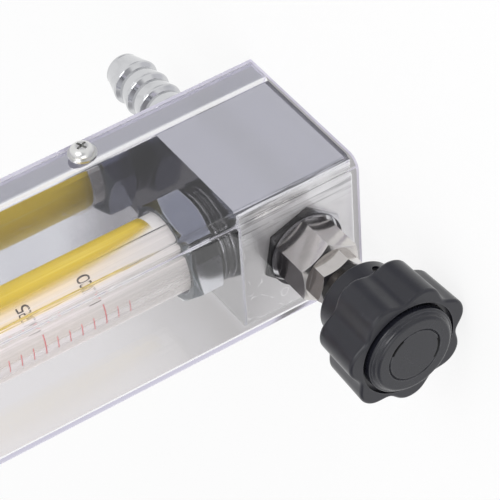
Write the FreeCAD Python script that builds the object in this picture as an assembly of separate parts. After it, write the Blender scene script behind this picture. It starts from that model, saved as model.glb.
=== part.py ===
import FreeCAD, Part
import math
import os

os.makedirs("parts", exist_ok=True)

# All sizes in millimetres. While it is built the meter stands on its lower end:
# Z runs up the tube, the knob points to -Y and the hose tails to +Y.
# Z = 0 is the lower end and Y = 0 is the panel that the rear edges stand on.
# The finished parts are shifted so that the origin is on the lower stud's axis.

# Overall and housing
overall_height = 210.0
cover_width = 40.0
cover_depth = 44.0
cover_sheet = 2.0
cover_bend_r = 3.5
cover_play = 0.1
channel_sheet = 1.0
channel_depth = 7.2
channel_bend_r = 1.6
block_side_gap = 0.8
cover_gap = 1.5
block_edge_r = 0.5
valve_hole_play = 1.0

# Ports
port_height = 15.0
thread_play = 0.05
stud_r = 7.0
stud_end = 11.0
stud_groove = 2.9
stud_groove_depth = 0.7
stud_land = 0.5
port_wall = 0.85
port_bore_r = 2.5
orifice_r = 1.6
orifice_from_tube = 7.0
chamber_from_tube = 5.5
chamber_past_tube = 6.0
chamber_r = 4.0
riser_r = 3.2
gasket_sheet = 0.9

# Lock nuts in the channel's hollow back
lock_nut_sheet = 3.0
lock_nut_flats = 19.0

# Hose tails
tail_neck_r = 5.2
barb_r = 6.15
barb_pitch = 5.4
barb_count = 4
barb_tip_y = 29.6
tail_end_y = 36.5
tail_nose_r = 3.7
tail_bore_r = 2.4

# Measuring tube
tube_from_front = 15.5
tube_r = 9.25
tube_bore_low_r = 6.25
tube_bore_high_r = 7.5
seat_wall = 0.65
tube_seat_depth = 1.8
stop_flange = 1.0
stop_length = 4.5
stop_bore_r = 1.8
stop_slot = 1.0
stop_play = 0.15
tube_seat_play = 0.1

# Gland nuts
gland_thread_r = 11.0
gland_socket = 8.0
ring_section_r = 0.84
neck_gap = 2.5
gland_flats = 23.0
gland_hex_length = 8.0
gland_bore_play = 0.15
lower_gland_turn = -15.0
upper_gland_turn = 9.0

# Float
float_r = 5.9
float_length = 14.0
float_rim = 1.8
float_flare = 1.8
float_waist_r = 3.9
float_waist = 2.2
float_rest_gap = 0.3

# Needle valve
valve_thread_r = 6.0
valve_nut_play = 0.1
valve_nut_flats = 19.0
valve_nut_turn = 20.0
bonnet_flats = 15.0
bonnet_turn = 31.0
bonnet_hex_length = 11.8
bonnet_spigot_r = 4.9
packing_nut_flats = 12.0
packing_nut_length = 4.6
packing_nut_turn = 14.0
stem_r = 2.5
stem_thread_r = 2.98
stem_play = 0.05
needle_play = 0.2

# Knob
knob_gap = 4.55
knob_length = 20.5
knob_hub_r = 10.0
knob_hub_length = 7.0
knob_back_mean_r = 14.45
knob_back_lobe = 0.95
knob_front_mean_r = 14.95
knob_front_lobe = 1.15
knob_lobes = 7
knob_valley_turn = 3.0
knob_back_edge_r = 1.1
knob_front_edge_r = 0.7
cap_r = 11.4
cap_face_r = 9.7
cap_rise = 2.5
cap_recess = 2.0
cap_play = 0.1
cap_groove = 1.0
cap_groove_depth = 1.2
set_screw_set_back = 4.0
set_screw_groove = 0.4
set_screw_r = 1.5
set_screw_turn = -22.7

# Cover screws
screw_height = 49.5
screw_y = -4.2
screw_r = 1.5
screw_play = 0.1
screw_head_r = 2.95
screw_head_length = 1.9
washer_r = 3.5
washer_sheet = 0.5
nut_plate_sheet = 2.0
nut_plate_height = 8.0
nut_plate_wall = 0.4
nut_plate_tail = 2.0

# Upper plug
plug_depth = 11.0
plug_slot = 1.6

# Sizes that follow from the ones above
channel_half = cover_width / 2 - cover_sheet - cover_play
block_width = cover_width - 2 * (cover_sheet + block_side_gap)
channel_floor = -channel_depth + channel_sheet
block_front = -cover_depth + cover_sheet + cover_gap
tube_y = block_front + tube_from_front
port_floor = tube_y + tube_r + tube_seat_play + port_wall
orifice_y = tube_y + orifice_from_tube
chamber_y = tube_y + chamber_from_tube
chamber_end_y = tube_y - chamber_past_tube
needle_tip_y = orifice_y - needle_play
seat_height = port_height + valve_thread_r + thread_play + seat_wall
socket_floor = seat_height + tube_seat_depth
block_height = socket_floor + gland_socket
tube_low = seat_height + stop_flange
tube_high = overall_height - tube_low
gland_low = block_height + neck_gap
hex_back = block_front - cover_gap
valve_nut_sheet = cover_gap - valve_nut_play
valve_hole_r = bonnet_flats / math.sqrt(3) + valve_hole_play
hex_front = hex_back - bonnet_hex_length
knob_back_y = hex_front - packing_nut_length - knob_gap - 0.05
knob_front_y = knob_back_y - knob_length
cap_front_y = knob_front_y - cap_rise
set_screw_y = knob_back_y - set_screw_set_back
panel_shift = FreeCAD.Vector(0, 0, -port_height)


def long_edges_at(shape, y):
    # The upright edges of a box-like blank whose front lies at y.
    return [e for e in shape.Edges if e.BoundBox.YMax < y + 0.01 and e.BoundBox.ZLength > overall_height / 2]


def vec(x, y, z):
    return FreeCAD.Vector(x, y, z)


def save(node, shape):
    moved = shape.copy()
    moved.translate(panel_shift)
    moved.exportStep("parts/" + node + ".step")


def outline(start, steps, place):
    # Closed wire from straight steps (r, a) and arc steps (mid r, mid a, r, a).
    edges = []
    here = start
    for step in steps + [start]:
        there = step[-2:]
        if len(step) == 4:
            arc = Part.Arc(place(*here), place(*step[:2]), place(*there))
            edges.append(arc.toShape())
        elif there != here:
            edges.append(Part.makeLine(place(*here), place(*there)))
        here = there
    return Part.Wire(edges)


def turned_up(start, steps, x, y):
    # Solid of revolution about a vertical axis; profile given as (radius, height).
    wire = outline(start, steps, lambda r, a: vec(x + r, y, a))
    return Part.Face(wire).revolve(vec(x, y, 0), vec(0, 0, 1), 360)


def turned_back(start, steps, x, z):
    # Solid of revolution about a front-to-back axis; profile given as (radius, y).
    wire = outline(start, steps, lambda r, a: vec(x + r, a, z))
    return Part.Face(wire).revolve(vec(x, 0, z), vec(0, 1, 0), 360)


def rod_up(radius, low, high, x, y):
    return Part.makeCylinder(radius, high - low, vec(x, y, low))


def rod_back(radius, front, back, x, z):
    return Part.makeCylinder(radius, back - front, vec(x, front, z), vec(0, 1, 0))


def rod_side(radius, left, right, y, z):
    return Part.makeCylinder(radius, right - left, vec(left, y, z), vec(1, 0, 0))


def hexagon(flats, length, turn):
    # Six-sided bar along Z from z = 0; turn is where the middle of one flat points.
    corner_r = flats / math.sqrt(3)
    corners = []
    for k in range(7):
        angle = math.radians(turn + 30 + 60 * k)
        corners.append(vec(corner_r * math.cos(angle), corner_r * math.sin(angle), 0))
    return Part.Face(Part.makePolygon(corners)).extrude(vec(0, 0, length))


def hex_nut(flats, length, turn, chamfer_low, chamfer_high):
    # Hexagon whose corners are turned down at 30 degrees on the ends that are asked for.
    corner_r = flats / math.sqrt(3)
    face_r = flats / 2 * 0.97
    drop = (corner_r + 0.2 - face_r) * math.tan(math.radians(30))
    low = drop if chamfer_low else 0.0
    high = drop if chamfer_high else 0.0
    low_r = face_r if chamfer_low else corner_r + 0.2
    high_r = face_r if chamfer_high else corner_r + 0.2
    steps = [(low_r, 0), (corner_r + 0.2, low), (corner_r + 0.2, length - high), (high_r, length)]
    steps.append((0, length))
    blank = turned_up((0, 0), steps, 0, 0)
    return hexagon(flats, length, turn).common(blank)


def lay_back(shape, y, z, x=0.0):
    # Turns a part built along Z so that its +Z end faces -Y, then places it.
    laid = shape.copy()
    laid.rotate(vec(0, 0, 0), vec(1, 0, 0), 90)
    laid.translate(vec(x, y, z))
    return laid


def mirror_up(shape):
    # The upper end of the meter is the lower end turned over.
    return shape.mirror(vec(0, 0, overall_height / 2), vec(0, 0, 1))


def torus_up(section_r, ring_r, height, x, y):
    return Part.makeTorus(ring_r, section_r, vec(x, y, height))


# Mirror channel: its plate faces the tube and its flanges run back
outer = Part.makeBox(2 * channel_half, channel_depth, overall_height, vec(-channel_half, -channel_depth, 0))
outer = outer.makeFillet(channel_bend_r, long_edges_at(outer, -channel_depth))
inner_half = channel_half - channel_sheet
inner = Part.makeBox(2 * inner_half, channel_depth, overall_height + 2, vec(-inner_half, channel_floor, -1))
inner = inner.makeFillet(channel_bend_r - channel_sheet, long_edges_at(inner, channel_floor))
channel = outer.cut(inner)
for height in (port_height, overall_height - port_height):
    channel = channel.cut(rod_back(stud_r + thread_play * 3, -channel_depth - 1, 0, 0, height))
for height in (screw_height, overall_height - screw_height):
    channel = channel.cut(rod_side(screw_r + screw_play, -cover_width, cover_width, screw_y, height))
save("back_channel", channel)

# Clear cover
half = cover_width / 2
outer = Part.makeBox(cover_width, cover_depth, overall_height, vec(-half, -cover_depth, 0))
outer = outer.makeFillet(cover_bend_r, long_edges_at(outer, -cover_depth))
inside = half - cover_sheet
cover_inside_y = -cover_depth + cover_sheet
inner = Part.makeBox(2 * inside, cover_depth, overall_height + 2, vec(-inside, cover_inside_y, -1))
inner = inner.makeFillet(cover_bend_r - cover_sheet, long_edges_at(inner, cover_inside_y))
cover = outer.cut(inner)
cover = cover.cut(rod_back(valve_hole_r, -cover_depth - 1, -cover_depth + cover_sheet + 1, 0, port_height))
for height in (screw_height, overall_height - screw_height):
    cover = cover.cut(rod_side(screw_r + screw_play, -cover_width, cover_width, screw_y, height))
save("front_cover", cover)

# End blocks
block_depth = -channel_depth - block_front
blank = Part.makeBox(block_width, block_depth, block_height, vec(-block_width / 2, block_front, 0))
edges = [e for e in blank.Edges if e.BoundBox.YMax < block_front + 0.01]
blank = blank.makeChamfer(block_edge_r, edges)
socket = rod_up(gland_thread_r + thread_play, socket_floor, block_height + 1, 0, tube_y)
seat = rod_up(tube_r + tube_seat_play, seat_height, socket_floor, 0, tube_y)
riser = rod_up(riser_r, port_height, seat_height, 0, tube_y)
rear_port = rod_back(stud_r + thread_play, port_floor, 0, 0, port_height)
block = blank.cut(socket).cut(seat).cut(riser).cut(rear_port)

inlet_bore = rod_back(port_bore_r, orifice_y, port_floor, 0, port_height)
orifice = rod_back(orifice_r, chamber_y, orifice_y, 0, port_height)
chamber = rod_back(chamber_r, chamber_end_y, chamber_y, 0, port_height)
valve_port = rod_back(valve_thread_r + thread_play, block_front - 1, chamber_end_y, 0, port_height)
save("lower_block", block.cut(inlet_bore).cut(orifice).cut(chamber).cut(valve_port))

plug_thread_r = stud_r + thread_play
outlet_bore = rod_back(port_bore_r, tube_y, port_floor, 0, port_height)
plug_port = rod_up(plug_thread_r, -1, plug_depth, 0, tube_y)
plug_way = rod_up(riser_r, plug_depth, port_height, 0, tube_y)
save("upper_block", mirror_up(block.cut(outlet_bore).cut(plug_port).cut(plug_way)))

# Plug that closes the top of the upper block
plug_end = plug_depth - gasket_sheet - 0.1
plug = turned_up((0, plug_end), [(stud_r, plug_end), (stud_r, 0.4), (stud_r - 0.4, 0), (0, 0)], 0, tube_y)
slot = Part.makeBox(2 * stud_r + 2, plug_slot, plug_slot, vec(-stud_r - 1, tube_y - plug_slot / 2, 0))
save("upper_plug", mirror_up(plug.cut(slot)))
plug_gasket = rod_up(stud_r - 0.1, plug_depth - gasket_sheet - 0.05, plug_depth - 0.05, 0, tube_y)
plug_gasket = plug_gasket.cut(rod_up(riser_r + 0.4, 0, plug_depth + 1, 0, tube_y))
save("plug_gasket", mirror_up(plug_gasket))

# Measuring tube with its tapered bore
tube_steps = [(tube_r - 0.4, tube_low), (tube_r, tube_low + 0.4), (tube_r, tube_high - 0.4)]
tube_steps += [(tube_r - 0.4, tube_high), (tube_bore_high_r, tube_high)]
save("metering_tube", turned_up((tube_bore_low_r, tube_low), tube_steps, 0, tube_y))

# Stops that keep the float in the tube
stop_top = tube_low + stop_length


def stop(bore_r):
    body_r = bore_r - stop_play
    steps = [(tube_r, seat_height + 0.02), (tube_r, tube_low - 0.02), (body_r, tube_low - 0.02)]
    steps += [(body_r, stop_top - 0.6), (body_r - 0.6, stop_top), (stop_bore_r, stop_top)]
    shape = turned_up((stop_bore_r, seat_height + 0.02), steps, 0, tube_y)
    for turn in (0, 60, 120):
        corner = vec(-bore_r - 0.5, -stop_slot / 2, stop_top - 1.6)
        gap = Part.makeBox(2 * bore_r + 1, stop_slot, 2.0, corner)
        gap.rotate(vec(0, 0, 0), vec(0, 0, 1), turn)
        gap.translate(vec(0, tube_y, 0))
        shape = shape.cut(gap)
    return shape


save("lower_stop", stop(tube_bore_low_r))
save("upper_stop", mirror_up(stop(tube_bore_high_r)))

# Float
float_low = stop_top + float_rest_gap
float_top = float_low + float_length
rim_low = float_top - float_rim
waist_high = rim_low - float_flare - float_waist
waist_low = waist_high - float_waist
steps = [(1.2, float_low), (1.6, float_low + 0.4), (float_waist_r, waist_low), (float_waist_r, waist_high)]
steps += [(float_waist_r + 0.6, rim_low - float_flare, float_r, rim_low), (float_r, float_top - 1.0)]
steps += [(float_r - 0.5, float_top - 0.5), (3.0, float_top), (0, float_top)]
save("float", turned_up((0, float_low), steps, 0, tube_y))

# Tube rings and gland nuts
ring_height = socket_floor + ring_section_r + 0.02
ring_mid_r = (tube_r + gland_thread_r + thread_play) / 2
tube_ring = torus_up(ring_section_r, ring_mid_r, ring_height, 0, tube_y)
save("lower_tube_ring", tube_ring)
save("upper_tube_ring", mirror_up(tube_ring))


def gland(turn):
    low = ring_height + ring_section_r + 0.05
    bore_r = tube_r + gland_bore_play
    end = gland_low + gland_hex_length
    core_r = gland_flats / 2 - 0.8
    root_r = gland_thread_r - 0.6
    top = block_height
    steps = [(gland_thread_r - 0.5, low), (gland_thread_r, low + 0.5), (gland_thread_r, top + 0.3)]
    steps += [(root_r, top + 0.6), (root_r, top + 1.0), (gland_thread_r, top + 1.3)]
    steps += [(gland_thread_r, top + 1.7), (root_r, top + 2.0), (root_r, gland_low + 0.5)]
    steps += [(core_r, gland_low + 0.5), (core_r, end), (bore_r + 0.5, end), (bore_r, end - 0.5)]
    core = turned_up((bore_r, low), steps, 0, tube_y)
    head = hex_nut(gland_flats, gland_hex_length, turn, True, True)
    head.translate(vec(0, tube_y, gland_low))
    head = head.cut(rod_up(core_r - 0.2, gland_low - 1, end + 1, 0, tube_y))
    return core.fuse(head).removeSplitter()


save("lower_gland_nut", gland(lower_gland_turn))
save("upper_gland_nut", mirror_up(gland(upper_gland_turn)))

# Hose tails with their threaded studs, and the lock nuts
tail_start = port_floor + gasket_sheet + 0.1
groove_r = stud_r - stud_groove_depth
steps = [(stud_r - 0.6, tail_start), (stud_r, tail_start + 0.6), (stud_r, -stud_groove)]
steps += [(groove_r, -stud_groove + stud_groove_depth), (groove_r, -stud_land - stud_groove_depth)]
steps += [(stud_r, -stud_land), (stud_r, stud_end - 0.6), (stud_r - 0.6, stud_end), (tail_neck_r, stud_end)]
crest = barb_tip_y - (barb_count - 1) * barb_pitch
steps.append((tail_neck_r, crest - 1.1))
for k in range(barb_count):
    steps += [(barb_r - 0.25, crest - 0.45), (barb_r, crest - 0.1, barb_r - 0.1, crest + 0.5)]
    if k < barb_count - 1:
        steps += [(tail_neck_r + 0.1, crest + barb_pitch - 1.7), (tail_neck_r, crest + barb_pitch - 1.1)]
    crest += barb_pitch
steps.append((tail_nose_r + 0.9, tail_end_y - 1.4))
steps.append((tail_nose_r + 0.55, tail_end_y - 0.4, tail_nose_r - 0.3, tail_end_y))
steps += [(tail_bore_r + 0.3, tail_end_y), (tail_bore_r, tail_end_y - 0.3)]
tail = turned_back((tail_bore_r, tail_start), steps, 0, port_height)
save("inlet_tail", tail)
save("outlet_tail", mirror_up(tail))

gasket = rod_back(stud_r - 0.1, tail_start - gasket_sheet - 0.05, tail_start - 0.05, 0, port_height)
gasket = gasket.cut(rod_back(port_bore_r + 0.4, port_floor - 1, 0, 0, port_height))
save("inlet_gasket", gasket)
save("outlet_gasket", mirror_up(gasket))

lock_nut = hex_nut(lock_nut_flats, lock_nut_sheet, 0, False, True)
lock_nut = lock_nut.cut(Part.makeCylinder(stud_r + thread_play, lock_nut_sheet + 2, vec(0, 0, -1)))
lock_nut.rotate(vec(0, 0, 0), vec(1, 0, 0), -90)
lock_nut.translate(vec(0, channel_floor, port_height))
save("inlet_lock_nut", lock_nut)
save("outlet_lock_nut", mirror_up(lock_nut))

# Needle valve: lock nut, bonnet, packing and packing nut
valve_nut = hex_nut(valve_nut_flats, valve_nut_sheet, valve_nut_turn, False, True)
valve_nut = valve_nut.cut(Part.makeCylinder(valve_thread_r + thread_play, 10, vec(0, 0, -1)))
save("valve_lock_nut", lay_back(valve_nut, block_front - 0.02, port_height))

bonnet_start = chamber_end_y - gasket_sheet - 0.1
spigot_front = hex_front - packing_nut_length + 1.4
packing_floor = hex_front + 0.6
bonnet_core_r = bonnet_flats / 2 - 0.8
cavity_r = bonnet_spigot_r - 1.1
way_r = stem_thread_r + stem_play
hole_r = stem_r + stem_play
steps = [(valve_thread_r - 0.6, bonnet_start), (valve_thread_r, bonnet_start - 0.6)]
steps += [(valve_thread_r, hex_back - 0.3), (bonnet_core_r, hex_back - 0.3), (bonnet_core_r, hex_front)]
steps += [(bonnet_spigot_r, hex_front), (bonnet_spigot_r, spigot_front)]
steps += [(cavity_r, spigot_front), (cavity_r, packing_floor), (hole_r, packing_floor)]
steps += [(hole_r, packing_floor + 2.0), (way_r, packing_floor + 2.5)]
core = turned_back((way_r, bonnet_start), steps, 0, port_height)
head = hex_nut(bonnet_flats, bonnet_hex_length, bonnet_turn, True, True)
head = lay_back(head, hex_back, port_height)
head = head.cut(rod_back(bonnet_core_r - 0.4, hex_front - 1, hex_back + 1, 0, port_height))
save("valve_bonnet", core.fuse(head).removeSplitter())

valve_gasket = rod_back(valve_thread_r - 0.1, bonnet_start + 0.05, chamber_end_y - 0.05, 0, port_height)
save("valve_gasket", valve_gasket.cut(rod_back(chamber_r, bonnet_start - 1, 0, 0, port_height)))

packing = rod_back(cavity_r - 0.03, spigot_front + 0.1, packing_floor - 0.05, 0, port_height)
save("stem_packing", packing.cut(rod_back(hole_r, spigot_front - 1, 0, 0, port_height)))

nut_back = hex_front - 0.05
packing_nut = hex_nut(packing_nut_flats, packing_nut_length, packing_nut_turn, False, True)
packing_nut = lay_back(packing_nut, nut_back, port_height)
spigot_hole = rod_back(bonnet_spigot_r + thread_play, spigot_front - 0.1, 0, 0, port_height)
packing_nut = packing_nut.cut(spigot_hole)
packing_nut = packing_nut.cut(rod_back(hole_r, knob_back_y, 0, 0, port_height))
save("packing_nut", packing_nut)

# Stem with its needle, thread and turned groove for the set screw
stem_end = knob_front_y + 6.0
thread_back = bonnet_start - 1.2
thread_front = thread_back - 13.0
seat_r = stem_r - set_screw_groove
groove_half = set_screw_r + 0.2
groove_back = set_screw_y + groove_half
groove_front = set_screw_y - groove_half
steps = [(0.4, needle_tip_y), (1.45, chamber_y), (2.2, chamber_y - 0.9), (2.2, thread_back + 0.6)]
steps += [(stem_thread_r - 0.3, thread_back), (stem_thread_r, thread_back - 0.3)]
steps += [(stem_thread_r, thread_front), (stem_r, thread_front - 0.5), (stem_r, groove_back + 0.2)]
steps += [(seat_r, groove_back), (seat_r, groove_front), (stem_r, groove_front - 0.2)]
steps += [(stem_r, stem_end + 0.5), (stem_r - 0.5, stem_end), (0, stem_end)]
save("valve_stem", turned_back((0, needle_tip_y), steps, 0, port_height))

# Knob
def lobed_wire(mean_r, lobe, y):
    # Closed smooth outline of the grip, with its seven lobes, in the plane at y.
    points = []
    for k in range(knob_lobes * 12):
        angle = 2 * math.pi * k / (knob_lobes * 12)
        wave = math.cos(knob_lobes * (angle - math.radians(knob_valley_turn)))
        radius = mean_r - lobe * (wave + 0.12 * (2 * wave * wave - 1))
        points.append(vec(radius * math.cos(angle), y, port_height + radius * math.sin(angle)))
    curve = Part.BSplineCurve()
    curve.interpolate(points, PeriodicFlag=True)
    return Part.Wire([curve.toShape()])


hub_front = knob_back_y - knob_hub_length
back_rim = lobed_wire(knob_back_mean_r, knob_back_lobe, hub_front)
front_rim = lobed_wire(knob_front_mean_r, knob_front_lobe, knob_front_y)
grip = Part.makeLoft([back_rim, front_rim], True, True)
for edge_r, y in ((knob_back_edge_r, hub_front), (knob_front_edge_r, knob_front_y)):
    rim = [e for e in grip.Edges if e.BoundBox.YLength < 0.01 and abs(e.BoundBox.YMin - y) < 0.01]
    grip = grip.makeFillet(edge_r, rim)
steps = [(knob_hub_r - 0.8, knob_back_y)]
steps.append((knob_hub_r - 0.2, knob_back_y - 0.2, knob_hub_r, knob_back_y - 0.8))
steps.append((knob_hub_r + 0.2, hub_front + 1.6))
steps.append((knob_hub_r + 0.8, hub_front + 0.5, knob_hub_r + 2.0, hub_front))
steps += [(knob_hub_r + 2.0, hub_front - 2.0), (0, hub_front - 2.0)]
hub = turned_back((0, knob_back_y), steps, 0, port_height)
knob = grip.fuse(hub).removeSplitter()
knob = knob.cut(rod_back(hole_r, stem_end - 0.3, knob_back_y + 1, 0, port_height))
recess_floor = knob_front_y + cap_recess
knob = knob.cut(rod_back(cap_r + cap_play, knob_front_y - 1, recess_floor, 0, port_height))
groove_floor = knob_front_y + cap_groove_depth
knob = knob.cut(rod_back(cap_r + cap_groove, knob_front_y - 1, groove_floor, 0, port_height))
turn = math.radians(set_screw_turn)
side = vec(math.cos(turn), 0, math.sin(turn))
hole = Part.makeCylinder(set_screw_r + thread_play, knob_hub_r + 4, vec(0, set_screw_y, port_height), side)
save("knob", knob.cut(hole))

# Knob set screw with its hexagon socket
screw_from = seat_r + 0.05
screw_length = knob_hub_r - 0.6 - screw_from
grub = Part.makeCone(set_screw_r - 0.4, set_screw_r, 0.4)
grub = grub.fuse(Part.makeCylinder(set_screw_r, screw_length - 0.4, vec(0, 0, 0.4)))
key = hexagon(1.5, 2.0, 0)
key.translate(vec(0, 0, screw_length - 1.6))
grub = grub.cut(key)
grub.rotate(vec(0, 0, 0), vec(0, 1, 0), 90 - set_screw_turn)
start = side * screw_from
grub.translate(vec(start.x, set_screw_y, port_height + start.z))
save("knob_set_screw", grub)

# Cap in the knob's front
lip = recess_floor - 0.02
steps = [(cap_r, lip), (cap_r, knob_front_y - 0.5)]
steps.append((cap_r - 0.15, knob_front_y - 1.0, cap_r - 0.6, knob_front_y - 1.2))
steps.append((cap_face_r + 0.6, knob_front_y - 1.7))
steps.append((cap_face_r + 0.15, cap_front_y + 0.15, cap_face_r - 0.5, cap_front_y))
steps += [(7.1, cap_front_y), (6.85, cap_front_y + 0.35), (6.6, cap_front_y), (0, cap_front_y)]
save("knob_cap", turned_back((0, lip), steps, 0, port_height))

# Cover screws, washers and tapped plates, two of each on either side
head_from = half + washer_sheet
head_to = head_from + screw_head_length
shank_to = inner_half - nut_plate_sheet - 0.4
steps = [(screw_r - 0.3, shank_to), (screw_r, shank_to + 0.3), (screw_r, head_from)]
steps += [(screw_head_r, head_from), (screw_head_r, head_from + 0.6)]
steps.append((screw_head_r - 0.55, head_to - 0.35, 0, head_to))
blank = turned_up((0, shank_to), steps, 0, 0)
for turn in (0, 90):
    wing = Part.makeBox(2.9, 0.62, 2.0, vec(-1.45, -0.31, head_to - 1.15))
    wing.rotate(vec(0, 0, 0), vec(0, 0, 1), turn + 20)
    blank = blank.cut(wing)
washer = rod_up(washer_r, half, head_from, 0, 0).cut(rod_up(screw_r + screw_play, 0, half + 2, 0, 0))
plate_front = -screw_r - nut_plate_wall
plate_width = screw_r + nut_plate_tail - plate_front
plate = Part.makeBox(nut_plate_height, plate_width, nut_plate_sheet,
                     vec(-nut_plate_height / 2, plate_front, inner_half - nut_plate_sheet))
plate_edges = [e for e in plate.Edges if e.BoundBox.ZMin > inner_half - 0.01]
corner = [e for e in plate_edges if e.BoundBox.YMax < plate_front + 0.01]
plate = plate.makeChamfer(channel_bend_r - channel_sheet + 0.1, corner)
plate = plate.cut(rod_up(screw_r + 0.03, 0, half, 0, 0))
places = [("right_lower", 90, screw_height), ("right_upper", 90, overall_height - screw_height)]
places += [("left_lower", -90, screw_height), ("left_upper", -90, overall_height - screw_height)]
for where, turn, height in places:
    for node, shape in (("cover_screw", blank), ("cover_washer", washer), ("nut_plate", plate)):
        placed = shape.copy()
        placed.rotate(vec(0, 0, 0), vec(0, 1, 0), turn)
        placed.translate(vec(0, screw_y, height))
        save(node + "_" + where, placed)
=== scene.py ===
import math

import bpy
from mathutils import Matrix, Vector


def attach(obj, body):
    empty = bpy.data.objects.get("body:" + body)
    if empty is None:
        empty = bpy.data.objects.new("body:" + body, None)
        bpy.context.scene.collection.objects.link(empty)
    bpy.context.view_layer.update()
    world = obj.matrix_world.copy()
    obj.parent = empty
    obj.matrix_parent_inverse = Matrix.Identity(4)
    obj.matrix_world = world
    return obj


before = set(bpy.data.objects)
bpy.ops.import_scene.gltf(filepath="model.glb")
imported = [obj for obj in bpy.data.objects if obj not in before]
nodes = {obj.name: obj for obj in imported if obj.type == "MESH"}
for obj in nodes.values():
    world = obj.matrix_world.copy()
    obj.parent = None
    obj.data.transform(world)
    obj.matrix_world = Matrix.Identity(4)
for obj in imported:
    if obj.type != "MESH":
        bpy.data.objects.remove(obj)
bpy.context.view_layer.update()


# Places and sizes, in metres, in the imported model's own frame

MM = 0.001
TUBE_Y = -25.0 * MM
TUBE_R = 9.25 * MM
LOWER_END = -15.0 * MM
MIDDLE_Z = 90.0 * MM
MIDDLE = Vector((0.0, 0.0, MIDDLE_Z))


# Camera and lamps

def set_camera():
    place = (0.536329, -0.512920, 0.300412)
    right = Vector((-0.04928, -0.55852, -0.82803))
    up = Vector((0.71931, 0.55533, -0.41738))
    backward = Vector((0.69294, -0.61618, 0.37438))
    lens = bpy.data.cameras.new("photo_camera")
    lens.sensor_width = 36.0
    lens.lens = 241.68
    lens.clip_start = 0.05
    lens.clip_end = 50.0
    camera = bpy.data.objects.new("photo_camera", lens)
    turn = Matrix((right, up, backward)).transposed().to_4x4()
    camera.matrix_world = Matrix.Translation(place) @ turn
    bpy.context.scene.collection.objects.link(camera)
    bpy.context.scene.camera = camera


def soft_light(name, place, size, power):
    lamp = bpy.data.lights.new(name, "AREA")
    lamp.shape = "SQUARE"
    lamp.size = size
    lamp.energy = power
    holder = bpy.data.objects.new(name, lamp)
    holder.location = place
    holder.rotation_mode = "QUATERNION"
    holder.rotation_quaternion = (Vector(place) - MIDDLE).to_track_quat("Z", "Y")
    bpy.context.scene.collection.objects.link(holder)


# Colours

def plain(red, green, blue):
    return (red, green, blue, 1.0)


def linear(red, green, blue):
    # A colour given as it is seen, from 0 to 255.
    shades = []
    for shade in (red, green, blue):
        shade /= 255.0
        shades.append(shade / 12.92 if shade <= 0.04045 else ((shade + 0.055) / 1.055) ** 2.4)
    return plain(*shades)


WHITE = plain(1.0, 1.0, 1.0)


# Node helpers

def add(tree, kind, settings=None, **inputs):
    made = tree.nodes.new(kind)
    for name, value in (settings or {}).items():
        setattr(made, name, value)
    for name, value in inputs.items():
        plug(tree, value, made.inputs[name.replace("_", " ")])
    return made


def plug(tree, value, socket):
    if isinstance(value, bpy.types.NodeSocket):
        tree.links.new(value, socket)
    else:
        socket.default_value = value


def calc(tree, operation, first, second=0.0):
    made = add(tree, "ShaderNodeMath", {"operation": operation})
    plug(tree, first, made.inputs[0])
    plug(tree, second, made.inputs[1])
    return made.outputs[0]


def plus(tree, first, second):
    return calc(tree, "ADD", first, second)


def minus(tree, first, second):
    return calc(tree, "SUBTRACT", first, second)


def times(tree, first, second):
    return calc(tree, "MULTIPLY", first, second)


def larger(tree, first, second):
    return calc(tree, "MAXIMUM", first, second)


def smaller(tree, first, second):
    return calc(tree, "MINIMUM", first, second)


def above(tree, value, level):
    return calc(tree, "GREATER_THAN", value, level)


def below(tree, value, level):
    return calc(tree, "LESS_THAN", value, level)


def unsigned(tree, value):
    return calc(tree, "ABSOLUTE", value)


def away_from(tree, value, level):
    return unsigned(tree, minus(tree, value, level))


def spread(tree, value, low, high, to_low=0.0, to_high=1.0, soft=False):
    # Carries low to to_low and high to to_high, and stays at those two beyond them.
    made = add(tree, "ShaderNodeMapRange", Value=value,
               From_Min=low, From_Max=high, To_Min=to_low, To_Max=to_high)
    if soft:
        made.interpolation_type = "SMOOTHSTEP"
    return made.outputs["Result"]


def tint(tree, mask, first, second):
    made = add(tree, "ShaderNodeMix", {"data_type": "RGBA"})
    plug(tree, mask, made.inputs[0])
    plug(tree, first, made.inputs[6])
    plug(tree, second, made.inputs[7])
    return made.outputs[2]


def dot(tree, first, second):
    made = add(tree, "ShaderNodeVectorMath", {"operation": "DOT_PRODUCT"})
    plug(tree, first, made.inputs[0])
    plug(tree, second, made.inputs[1])
    return made.outputs["Value"]


def vector_length(tree, vector):
    made = add(tree, "ShaderNodeVectorMath", {"operation": "LENGTH"})
    plug(tree, vector, made.inputs[0])
    return made.outputs["Value"]


def flat_length(tree, **sides):
    return vector_length(tree, add(tree, "ShaderNodeCombineXYZ", **sides).outputs[0])


def split(tree, vector):
    return add(tree, "ShaderNodeSeparateXYZ", Vector=vector).outputs


def part_place(tree):
    return tree.nodes.new("ShaderNodeTexCoord").outputs["Object"]


def noise(tree, **inputs):
    return add(tree, "ShaderNodeTexNoise", Vector=part_place(tree), **inputs).outputs["Fac"]


def facing_of(tree):
    return split(tree, add(tree, "ShaderNodeNewGeometry").outputs["Normal"])


def from_middle(tree):
    # How far a point lies from the middle of the tube, along the tube.
    return away_from(tree, split(tree, part_place(tree))["Z"], MIDDLE_Z)


def turn_round_tube(tree):
    # The angle round the tube in radians: 0 at its sides, positive in front, negative behind.
    place = split(tree, part_place(tree))
    return calc(tree, "ARCTAN2", minus(tree, TUBE_Y, place["Y"]), unsigned(tree, place["X"]))


def relief(tree, height, strength, depth):
    return add(tree, "ShaderNodeBump", Height=height, Strength=strength, Distance=depth).outputs["Normal"]


def principled(tree, **inputs):
    return add(tree, "ShaderNodeBsdfPrincipled", **inputs).outputs[0]


def glow(tree, colour):
    return add(tree, "ShaderNodeEmission", Color=colour, Strength=1.0).outputs[0]


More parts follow.
